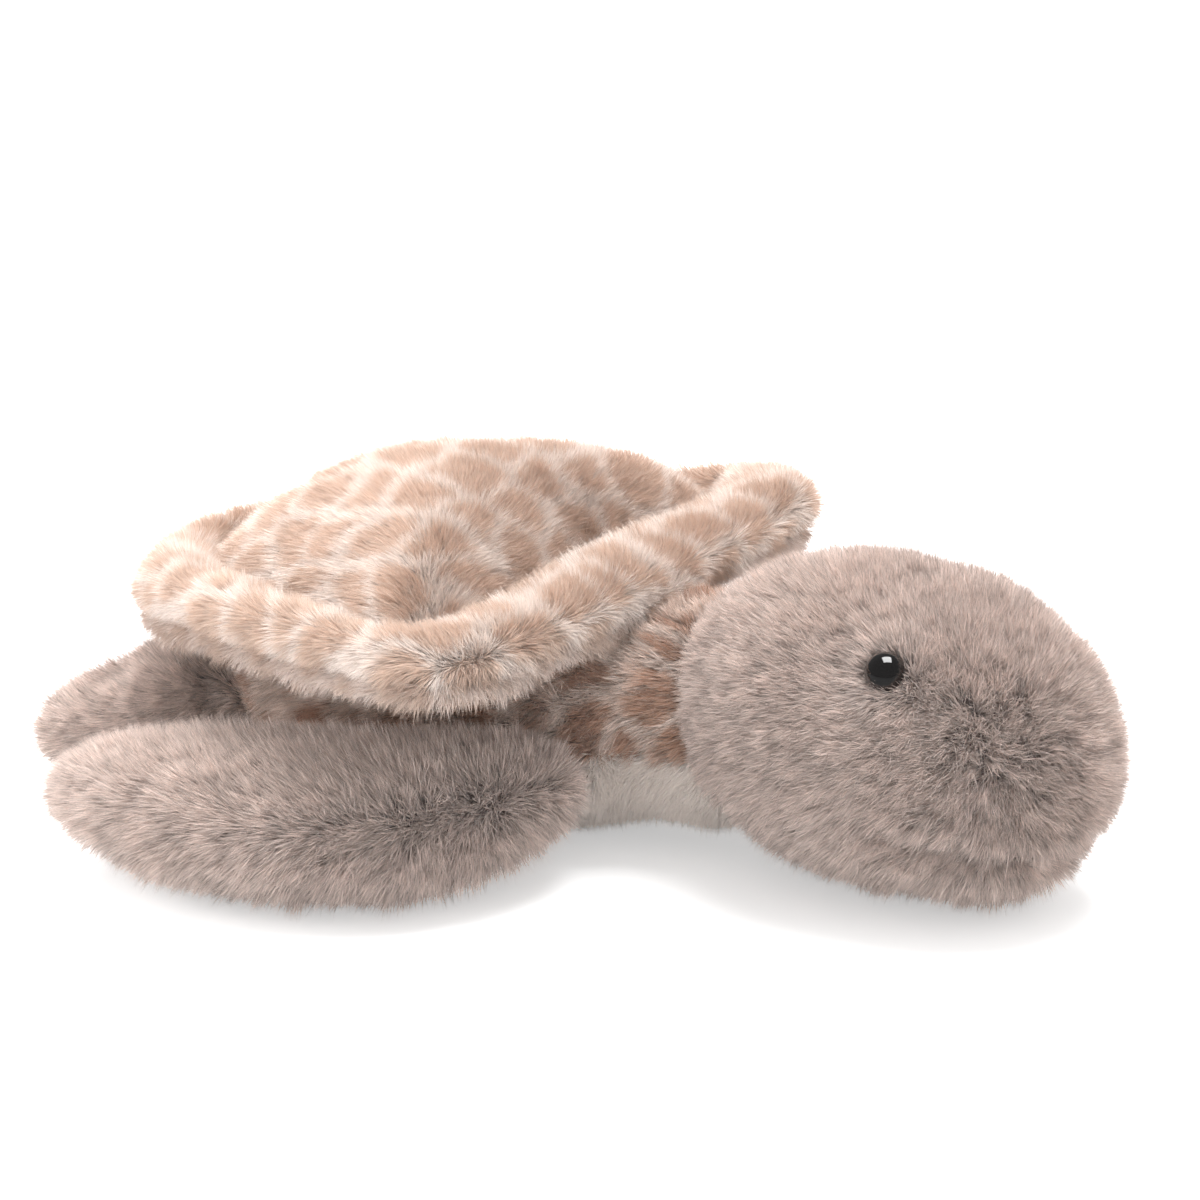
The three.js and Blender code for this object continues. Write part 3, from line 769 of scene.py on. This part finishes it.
@dataclass
class Coat:
    """The fur of one stuffed form, grown strand by strand over its skin."""

    skin: Skin
    dye: Dye
    pile: Pile
    comb: Comb
    seed: int
    thin_below: float = 0.45  # share of the strands kept where the form faces the table
    shorter: tuple[tuple[Seam, float], ...] = ()  # seams, and the share of length that stays there

    def fields(self, places: Points, normals: Points) -> tuple[Points, Points, Points]:
        """What the skin's points say about the fur there.

        Args:
            places: the skin's points.
            normals: their outward unit normals.

        Returns:
            The lean, the share of length that has room, and how shut in the point is.
        """
        near = surface_tree(self.skin.touches)
        free = CROWDED + (1 - CROWDED) * smooth_step(distances(near, places), *ROOMY)
        shut = np.zeros(len(places))
        for index, (place, normal) in enumerate(zip(places, normals)):
            if free[index] < 1:
                hit = near.ray_cast(Vector(place), Vector(normal), SHUT_REACH)[3]
                shut[index] = hit is not None
        for seam, share in self.shorter:
            free *= 1 - (1 - share) * seam.shares(places)
        for socket in self.skin.sockets:
            free *= socket.room(places)
        waves = drifts(places, 20 * MM, self.seed, 9)  # broad ones, and finer ones on them
        waves += 0.6 * drifts(places, 8 * MM, self.seed + 5, 9)
        waves -= (waves * normals).sum(1, keepdims=True) * normals
        leans = self.pile.lean * self.comb.leans(places, normals) + self.pile.wave * waves
        for socket in self.skin.sockets:
            leans += socket.leans(places)
        return leans, free, shut

    def scatter(self) -> Roots:
        """Spreads strands over the skin by area.

        Returns:
            The roots, with the room that each strand has.
        """
        mesh = self.skin.piece.data
        mesh.calc_loop_triangles()
        corners = np.empty(3 * len(mesh.loop_triangles), np.int32)
        mesh.loop_triangles.foreach_get("vertices", corners)
        corners = corners.reshape(-1, 3)
        places = coordinates(mesh)
        slopes = np.array([v.normal for v in mesh.vertices])
        leans, free, shut = self.fields(places, slopes)
        start, left, right = (places[corners[:, i]] for i in range(3))
        across = np.cross(left - start, right - start)
        area = np.linalg.norm(across, axis=1) / 2
        down = -across[:, 2] / np.maximum(2 * area, 1e-12)
        keep = 1 - (1 - self.thin_below) * smooth_step(down, *DOWNWARDS)
        weight = area * keep * (1 - (1 - SHUT_IN) * shut[corners].mean(1))
        rng = np.random.default_rng(self.seed)
        count = int(self.pile.density / TUFT * weight.sum() * (1))
        chosen = corners[rng.choice(len(corners), count, p=weight / weight.sum())]
        first, second = rng.random(count), rng.random(count)
        over = first + second > 1
        first[over], second[over] = 1 - first[over], 1 - second[over]
        shares = np.stack([1 - first - second, first, second], 1)
        spread = shares[:, :, None]
        points = (places[chosen] * spread).sum(1)
        normals = unit((slopes[chosen] * spread).sum(1))
        leans = (leans[chosen] * spread).sum(1)
        free = (free[chosen] * shares).sum(1)
        kept = free > LEAST_ROOM
        for socket in self.skin.sockets:
            kept &= socket.room(points) > 0
        return Roots(points, normals, leans, free).where(kept)

    def locks(self, roots: Roots, rng: np.random.Generator) -> Points:
        """The tuft that each tuft gathers towards."""
        area = len(roots) * TUFT / self.pile.density
        count = max(8, int(area / self.pile.lock**2))
        leaders = rng.choice(len(roots), min(count, len(roots)), replace=False)
        tree = kdtree.KDTree(len(leaders))
        for index, leader in enumerate(leaders):
            tree.insert(Vector(roots.points[leader]), index)
        tree.balance()
        return np.array([leaders[tree.find(Vector(p))[1]] for p in roots.points])

    def tufts(self, roots: Roots) -> tuple[Points, Points, Points]:
        """Stands three strands on each root.

        Args:
            roots: where the tufts grow.

        Returns:
            Three foot points and three tips for each tuft, each tuft's shade and its share of a patch.
        """
        rng = np.random.default_rng(self.seed + 100)
        pile, count = self.pile, len(roots)
        leader = self.locks(roots, rng)
        fellow = rng.normal(0, 1, (count, 3)).clip(-2, 2)[leader]
        own = rng.normal(0, 1, (count, TUFT, 3)).clip(-2, 2)
        lean = (roots.leans + pile.stray * fellow)[:, None] + pile.untidy * own
        way = roots.normals[:, None] + lean
        way /= np.linalg.norm(way, axis=2, keepdims=True)
        uneven = 1 + pile.uneven * rng.normal(0, 1, (count, TUFT)).clip(-2, 2)
        common = roots.free * (1 + pile.locks_uneven * fellow[:, 0])
        long = pile.length * common[:, None] * uneven
        foot = roots.points - LEAST_DEPTH * roots.normals
        tips = foot[:, None] + long[:, :, None] * way
        draw = (pile.gather * rng.uniform(0.2, 1, (count, TUFT)))[:, :, None]
        tips += draw * (tips[leader][:, :1] - tips)
        first = unit(np.cross(roots.normals, rng.normal(0, 1, (count, 3))))
        second = np.cross(roots.normals, first)
        radius = (pile.width / math.sqrt(3) * rng.uniform(0.8, 1.2, count))[:, None]
        ring = [
            foot + radius * (math.cos(turn) * first + math.sin(turn) * second)
            for turn in (0, 2 * math.pi / 3, 4 * math.pi / 3)
        ]
        points = np.concatenate([np.stack(ring, 1), tips], 1)
        points[:, :, 2] = np.maximum(points[:, :, 2], FLOOR_GAP)
        shade = 0.5 + SHADE_SWING * pile.mottle * (rng.random(count)[leader] - 0.5) * 2
        own_shade = SHADE_SWING * (1 - pile.mottle) * (rng.random(count) - 0.5) * 2
        shade = (shade + own_shade).clip(0, 1)
        spots = self.dye.spots
        patch = np.zeros(count)
        if spots:
            patch = spots.at(0.3 * roots.points + 0.7 * tips.mean(1))
            patch = (patch + spots.speckle * rng.normal(0, 1, count)).clip(0, 1)
        return points, shade, patch

    def piece(self, name: str, points: Points, shade: Points, patch: Points) -> bpy.types.Object:
        """Makes one piece of fur from tufts.

        Args:
            name: the piece's name.
            points: three foot points and three tips for each tuft.
            shade: each tuft's brightness, from 0 to 1.
            patch: each tuft's share of the patch colour.

        Returns:
            The piece, dressed and riding on its body.
        """
        count = len(points)
        mesh = bpy.data.meshes.new(name)
        mesh.vertices.add(6 * count)
        mesh.vertices.foreach_set("co", points.astype(np.float32).ravel())
        corners = (TUFT_CORNERS + 6 * np.arange(count)[:, None]).ravel()
        mesh.loops.add(9 * count)
        mesh.loops.foreach_set("vertex_index", corners.astype(np.int32))
        mesh.polygons.add(TUFT * count)
        mesh.polygons.foreach_set("loop_start", 3 * np.arange(TUFT * count, dtype=np.int32))
        mesh.update(calc_edges=True)
        mesh.shade_smooth()
        along = np.tile([0, 0, 0, 1.0, 1.0, 1.0], count)
        carried = {"along": along, "shade": shade.repeat(6), "patch": patch.repeat(6)}
        for title, values in carried.items():
            layer = mesh.attributes.new(title, "FLOAT", "POINT")
            layer.data.foreach_set("value", values.astype(np.float32))
        column = np.floor(shade * (SHADE_STEPS - 0.001))
        middle = (column + 0.06 + 0.88 * patch) / SHADE_STEPS
        spread = 0.05 / SHADE_STEPS * np.array([-1, 0, 1, 1, -1, 0])
        chart = np.stack([(middle[:, None] + spread).ravel(), 0.01 + 0.98 * along], 1)
        layer = mesh.uv_layers.new(name=BAKE_MAP)
        layer.uv.foreach_set("vector", chart[corners].astype(np.float32).ravel())
        mesh.materials.append(Finishes.fur(self.dye))
        made = place_object(name, mesh)
        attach(made, self.skin.body)
        log.info("%s: %d strands", name, TUFT * count)
        return made

    def grow(self, names: tuple[str, ...], which: Callable[[Points], Points]) -> None:
        """Grows the whole coat and parts it into pieces.

        Args:
            names: the pieces' names.
            which: gives each root's piece as its place in names. Where it is below zero, nothing grows.
        """
        roots = self.scatter()
        chosen = which(roots.points)
        roots, chosen = roots.where(chosen >= 0), chosen[chosen >= 0]
        points, shade, patch = self.tufts(roots)
        for index, name in enumerate(names):
            own = chosen == index
            self.piece(name, points[own], shade[own], patch[own])


def by_side(points: Points) -> Points:
    """0 for the left half and 1 for the right one."""
    return (points[:, 1] < 0).astype(int)


def nearer(points: Points, first: tuple[str, ...], second: tuple[str, ...]) -> Points:
    """Whether each point lies nearer to the first nodes than to the second ones."""
    one, two = (distances(surface_tree(names), points) for names in (first, second))
    return one < two


@dataclass
class Eye:
    """A domed plastic eye on a stem that passes through the cloth."""

    side: str
    diameter: float = 12 * MM
    rise: float = 6 * MM  # of the dome above its flat back
    edge: float = 0.9 * MM
    proud: float = 2.9 * MM  # of the dome's top above the fur's surface
    stem_diameter: float = 4 * MM
    stem_length: float = 13 * MM
    dome_steps: int = 16
    round_steps: int = 64

    def axis(self) -> tuple[Vector, Vector]:
        """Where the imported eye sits.

        Returns:
            The point of its axis on the fur's surface, and its outward direction.
        """
        shape = node_shape((f"eye_{self.side}",))
        places = np.array([v.co for v in shape.verts])
        shape.free()
        middle = places.mean(0)
        sizes, ways = np.linalg.eigh(np.cov((places - middle).T))
        odd = 0 if sizes[1] - sizes[0] > sizes[2] - sizes[1] else 2
        way = Vector(ways[:, odd])
        if way.z < 0:
            way.negate()
        top = max((Vector(p) - Vector(middle)).dot(way) for p in places)
        return Vector(middle) + way * (top - self.proud), way

    def build(self) -> bpy.types.Object:
        """Turns the cap and stem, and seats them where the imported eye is.

        Returns:
            The finished piece.
        """
        seat, way = self.axis()
        back = self.proud - self.rise
        end = back - self.stem_length
        radius, stem = self.diameter / 2, self.stem_diameter / 2
        outline = [(0, end), (stem, end), (stem, back), (radius, back)]
        for step in range(self.dome_steps + 1):
            angle = math.pi / 2 * step / self.dome_steps
            height = back + self.edge + (self.rise - self.edge) * math.sin(angle)
            outline.append((radius * math.cos(angle) if step < self.dome_steps else 0, height))
        shape = bmesh.new()
        points = [shape.verts.new((r, 0, z)) for r, z in outline]
        edges = [shape.edges.new(pair) for pair in zip(points, points[1:])]
        bmesh.ops.spin(
            shape, geom=points + edges, cent=(0, 0, 0), axis=(0, 0, 1),
            angle=2 * math.pi, steps=self.round_steps, use_merge=True,
        )
        bmesh.ops.remove_doubles(shape, verts=shape.verts, dist=0.005 * MM)
        bmesh.ops.recalc_face_normals(shape, faces=shape.faces)
        turn = Vector((0, 0, 1)).rotation_difference(way).to_matrix().to_4x4()
        bmesh.ops.transform(shape, matrix=Matrix.Translation(seat) @ turn, verts=shape.verts)
        mesh = meshed(shape, f"eye_dome_{self.side}")
        mesh.shade_smooth()
        mesh.materials.append(Finishes.glossy_eye())
        piece = place_object(mesh.name, mesh)
        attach(piece, "head")
        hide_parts(f"eye_{self.side}")
        log.info("%s: seated at %s", piece.name, [round(v, 4) for v in seat])
        return piece


TORSO_FORM = ("body_left_panel", "body_right_panel", "belly_panel", "body_filling")
SHELL_FORM = ("shell_top_cover", "shell_underside_cover", "shell_dome_filling", "shell_rim_filling")
HEAD_FORM = ("head_left_panel", "head_right_panel", "chin_panel", "head_filling")
BODY_SIDES = TORSO_FORM[:2]
COVERS = SHELL_FORM[:2]
BACKWARDS = (-1, 0, 0)


@dataclass
class Head:
    """The head: one stuffed skin, its fur and both eyes."""

    pile: Pile = Pile(length=9.0 * MM, density=9.4e6, lean=0.85)
    mouth: tuple[float, float] = (4 * MM, 7 * MM)  # depth and reach of the crease
    corner: float = 0.132  # place along of the mouth's corners
    droop: float = 4 * MM  # how far the crease lies below the chin panel's edge
    crown: tuple[float, float] = (0.8 * MM, 5 * MM)  # of the seam down the middle
    puffs: tuple[Puff, ...] = (
        *Puff((0.118, 0.028, 0.004), 36 * MM, -1.8 * MM).pair(),
        Puff((0.185, 0.0, 0.075), 40 * MM, 3 * MM),
        Puff((0.15, 0.0, 0.114), 54 * MM, -5 * MM),
        *Puff((0.084, 0.02, 0.004), 26 * MM, 3 * MM).pair(),
    )

    def build(self) -> None:
        """Makes every piece of the head."""
        eyes = [Eye(side) for side in SIDES]
        sockets = tuple(Socket(*eye.axis()) for eye in eyes)
        for eye in eyes:
            eye.build()
        finish = Finishes.washer()
        for side in SIDES:
            washer = frame["nodes"][f"eye_washer_{side}"]
            washer.data.materials.clear()
            washer.data.materials.append(finish)
        touches = TORSO_FORM + SHELL_FORM
        mouth = (
            Seam(f"head_{side}_panel", "chin_panel", *self.mouth, start=self.corner, shift=self.droop)
            for side in SIDES
        )
        skin = Skin(
            "head_skin", "head", HEAD_FORM, touches,
            seams=(*mouth, Seam("head_left_panel", "head_right_panel", *self.crown)),
            sockets=sockets,
            depth=6.3 * MM,
            puffs=self.puffs,
        ).build()
        comb = Comb(nap=BACKWARDS, hang=0.3)
        Coat(skin, TAUPE, self.pile, comb, seed=11).grow(("head_fur_left", "head_fur_right"), by_side)


@dataclass
class Shell:
    """The quilted shell pad: a dome stitched down inside a rolled rim."""

    pile: Pile = Pile(length=8.0 * MM, density=9.4e6, width=0.4 * MM, stray=0.13, gather=0.15)
    under_pile: Pile = Pile(length=8.0 * MM, density=5.0e6, lock=2.4 * MM, lean=0.6)
    groove: tuple[float, float] = (4 * MM, 10 * MM)  # depth and reach of the stitched valley
    edge: tuple[float, float] = (3 * MM, 6 * MM)  # of the seam round the rim
    split: float = -0.045  # place along, where the fur's front and rear pieces part
    puffs: tuple[Puff, ...] = (
        Puff((0.03, 0.104, 0.078), 42 * MM, 7 * MM),
        Puff((0.042, 0.06, 0.07), 32 * MM, 6 * MM),
        Puff((-0.11, 0.015, 0.104), 34 * MM, -4 * MM),
        Puff((-0.07, 0.0, 0.118), 40 * MM, 1.5 * MM),
        Puff((-0.125, 0.07, 0.068), 40 * MM, 3 * MM),
        Puff((-0.128, -0.07, 0.066), 40 * MM, 5 * MM),
    )

    def build(self) -> None:
        """Makes the shell's skin and fur."""
        groove = Seam("shell_dome_filling", "shell_rim_filling", *self.groove, gate=22 * MM)
        edge = Seam(*COVERS, *self.edge)
        skin = Skin(
            "shell_skin", "torso", SHELL_FORM, BODY_SIDES,
            seams=(groove, edge),
            dye=SHELL_DYE, depth=5.2 * MM, swell=2.4 * MM, puffs=self.puffs,
        ).build()
        comb = Comb(nap=BACKWARDS, hang=0.8)

        def quarter(points: Points) -> Points:
            """0 to 3 for the quarters of the top cover, below zero for the underside."""
            own = by_side(points) + 2 * (points[:, 0] < self.split)
            return np.where(nearer(points, COVERS[:1], COVERS[1:]), own, -1)

        names = tuple(f"shell_fur_{side}_{end}" for end in ("front", "rear") for side in SIDES)
        shorter = ((groove, 0.7), (edge, 0.8))
        Coat(skin, SHELL_DYE, self.pile, comb, seed=21, shorter=shorter).grow(names, quarter)
        Coat(skin, SHADED_UNDER_DYE, self.under_pile, comb, seed=22).grow(
            ("shell_underside_fur",), lambda points: nearer(points, COVERS[1:], COVERS[:1]) - 1,
        )


@dataclass
class Torso:
    """The body and neck under the shell, with the pale belly cloth."""

    pile: Pile = Pile(length=9.0 * MM, density=7.5e6, wave=0.6)
    belly_pile: Pile = Pile(
        length=9.0 * MM, density=9.0e6, width=0.5 * MM, lean=0.4, gather=0.1, stray=0.08, wave=0.15,
    )
    seam: tuple[float, float] = (1 * MM, 5 * MM)  # depth and reach of the belly's seams
    puffs: tuple[Puff, ...] = (
        Puff((0.048, 0.036, 0.08), 34 * MM, 8 * MM),
        Puff((0.045, -0.025, 0.078), 34 * MM, 5 * MM),
        *Puff((0.068, 0.02, 0.004), 24 * MM, 4.5 * MM).pair(),
    )

    def build(self) -> None:
        """Makes the body's skin and fur."""
        bodies = frame["record"]["behaviour"]["bodies"]
        limbs = (node for body in frame["bodies"] if body != "torso" for node in bodies[body])
        touches = tuple(node for node in limbs if not node.endswith("filling")) + COVERS
        skin = Skin(
            "body_skin", "torso", TORSO_FORM, touches,
            seams=tuple(Seam(side, "belly_panel", *self.seam) for side in BODY_SIDES),
            dye=BODY_DYE, puffs=self.puffs,
        ).build()
        belly = ("belly_panel",)

        def panel(points: Points) -> Points:
            """0 and 1 for the sides, below zero for the belly."""
            return np.where(nearer(points, belly, BODY_SIDES), -1, by_side(points))

        comb = Comb(nap=BACKWARDS, hang=0.5)
        Coat(skin, BODY_DYE, self.pile, comb, seed=31).grow(("body_fur_left", "body_fur_right"), panel)
        Coat(skin, CREAM, self.belly_pile, comb, seed=32, thin_below=0.8).grow(
            ("belly_fur",), lambda points: nearer(points, belly, BODY_SIDES) - 1,
        )


@dataclass
class Limb:
    """One flipper or the tail: a stuffed skin of two panels and its fur."""

    body: str
    comb: Comb
    pile: Pile
    touches: tuple[str, ...]
    seed: int
    voxel: float = 4 * MM
    depth: float = 5.2 * MM
    smooths: int = 8
    puffs: tuple[Puff, ...] = ()
    seam: tuple[float, float] = (0.6 * MM, 4 * MM)  # depth and reach of the seam round its edge

    def build(self) -> None:
        """Makes the limb's skin and fur."""
        top, bottom = f"{self.body}_top_panel", f"{self.body}_bottom_panel"
        skin = Skin(
            f"{self.body}_skin", self.body, (top, bottom, f"{self.body}_filling"), self.touches,
            seams=(Seam(top, bottom, *self.seam),), voxel=self.voxel, depth=self.depth,
            smooths=self.smooths, puffs=self.puffs,
        ).build()
        Coat(skin, TAUPE, self.pile, self.comb, self.seed).grow(
            (f"{self.body}_fur",), lambda points: np.zeros(len(points), int),
        )


@dataclass
class Limbs:
    """All four flippers and the tail."""

    front_pile: Pile = Pile(length=10.0 * MM, density=9.0e6, lean=1.1)
    rear_pile: Pile = Pile(length=9.5 * MM, density=8.4e6)
    tail_pile: Pile = Pile(length=6.5 * MM, density=8.4e6)

    def build(self) -> None:
        """Makes every limb, the right ones from the same sizes as the left ones."""
        near = (*BODY_SIDES, "belly_panel", "shell_underside_cover", "shell_top_cover")
        front = Comb(nap=BACKWARDS, hang=0.35)
        rear = Comb(nap=BACKWARDS, hang=0.25)
        for index, side in enumerate(SIDES):
            touches = near + (f"rear_flipper_{side}_top_panel",)
            Limb(f"front_flipper_{side}", front, self.front_pile, touches, 41 + index).build()
            out = 1 if side == "left" else -1
            puffs = (
                Puff((-0.178, 0.069 * out, 0.003), 32 * MM, 12.5 * MM),
                Puff((-0.168, 0.063 * out, 0.054), 42 * MM, -16 * MM),
            )
            Limb(f"rear_flipper_{side}", rear, self.rear_pile, near, 51 + index, puffs=puffs).build()
        Limb(
            "tail", rear, self.tail_pile, near, 61, voxel=2.5 * MM, depth=3.4 * MM, smooths=4,
        ).build()


@dataclass(frozen=True)
class Lamp:
    """A square soft box that faces the turtle."""

    name: str
    place: Place
    size: float
    power: float
    mirrored: bool = False  # whether glossy plastic shows it

    def hang(self, target: Place) -> None:
        """Adds the lamp to the scene, turned to its target."""
        data = bpy.data.lights.new(self.name, "AREA")
        data.size, data.energy = self.size, self.power
        lamp = bpy.data.objects.new(self.name, data)
        bpy.context.scene.collection.objects.link(lamp)
        lamp.location = self.place
        lamp.visible_glossy = self.mirrored
        way = Vector(target) - Vector(self.place)
        lamp.rotation_euler = way.to_track_quat("-Z", "Y").to_euler()


@dataclass
class Studio:
    """A plain pale floor, soft lights and the camera of the photograph."""

    target: Place = (0.008, 0.0, 0.0762)
    azimuth: float = 30.0
    elevation: float = 17.0
    distance: float = 0.925
    field_of_view: float = 24.0
    lamps: tuple[Lamp, ...] = (
        Lamp("top", (0.15, 0.1, 1.2), 0.7, 14.0, mirrored=True),
        Lamp("left", (-1.2, -0.5, 0.35), 0.8, 13.0),
        Lamp("back", (-0.9, 0.7, 0.9), 0.8, 24.0),
    )
    behind: float = 0.4  # level of the white room behind the turtle
    ahead: float = 1.05  # level of the room on the camera's side
    mirrored: float = 0.2  # level of the room and floor that glossy plastic reflects
    floor_shade: float = 0.92
    floor_glow: float = 0.45  # what the camera sees on top of the floor's own light

    def floor(self) -> None:
        """A floor that shows white to the camera and keeps the turtle's shadow."""
        shape = bmesh.new()
        bmesh.ops.create_grid(shape, x_segments=8, y_segments=8, size=6)
        mesh = meshed(shape, "floor")
        material, graph = Finishes.start("floor_white")
        path = graph.node("ShaderNodeLightPath").outputs
        plain, shown = ((level, level, level, 1) for level in (self.floor_shade, self.mirrored))
        graph.finish({
            "Base Color": graph.blend(path["Is Glossy Ray"], plain, shown),
            "Roughness": 0.9,
            "Specular IOR Level": 0.0,
            "Emission Color": (1, 1, 1, 1),
            "Emission Strength": graph.maths("MULTIPLY", path["Is Camera Ray"], self.floor_glow),
        })
        mesh.materials.append(material)
        place_object("floor", mesh)

    def view_way(self) -> Vector:
        """The level direction from the turtle to the camera."""
        around = math.radians(self.azimuth)
        return Vector((math.sin(around), -math.cos(around), 0))

    def world(self) -> None:
        """Soft light from all round, white to the camera and strongest from the camera's side."""
        world = bpy.context.scene.world or bpy.data.worlds.new("studio")
        bpy.context.scene.world = world
        world.use_nodes = True
        world.node_tree.nodes.clear()
        graph = Graph(world.node_tree)
        path = graph.node("ShaderNodeLightPath").outputs
        ray = graph.node("ShaderNodeTexCoord").outputs["Generated"]
        seen = graph.maths("MAXIMUM", path["Is Camera Ray"], path["Is Transmission Ray"])
        facing = graph.node("ShaderNodeVectorMath", {0: ray, 1: self.view_way()})
        facing.operation = "DOT_PRODUCT"
        room = graph.ranged(facing.outputs["Value"], {
            "From Min": -1.0, "To Min": self.behind, "To Max": self.ahead,
        })
        level = graph.ranged(seen, {"To Min": room, "To Max": 1.0})
        power = graph.node("ShaderNodeMix", {
            "Factor": path["Is Glossy Ray"], "A": level, "B": self.mirrored,
        })
        glow = graph.node("ShaderNodeBackground", {
            "Color": (1, 1, 1, 1), "Strength": power.outputs["Result"],
        })
        graph.node("ShaderNodeOutputWorld", {"Surface": glow.outputs[0]})

    def camera(self) -> None:
        """Sets the camera at the photograph's viewing angle."""
        above = math.radians(self.elevation)
        back = self.view_way() * math.cos(above) + Vector((0, 0, math.sin(above)))
        data = bpy.data.cameras.new("camera")
        data.sensor_width = 36
        data.lens = data.sensor_width / 2 / math.tan(math.radians(self.field_of_view) / 2)
        camera = bpy.data.objects.new("camera", data)
        bpy.context.scene.collection.objects.link(camera)
        camera.location = Vector(self.target) + back * self.distance
        camera.rotation_euler = back.to_track_quat("Z", "Y").to_euler()
        bpy.context.scene.camera = camera

    def build(self) -> None:
        """Makes the whole studio."""
        self.camera()
        self.floor()
        self.world()
        for lamp in self.lamps:
            lamp.hang(self.target)
        bpy.context.scene.view_settings.view_transform = "Standard"


def main() -> None:
    """Builds the turtle and its studio in order."""
    logging.basicConfig(level=logging.INFO, format="%(name)s: %(message)s")
    Studio().build()
    Head().build()
    Torso().build()
    Shell().build()
    Limbs().build()


if __name__ == "__main__":
    main()
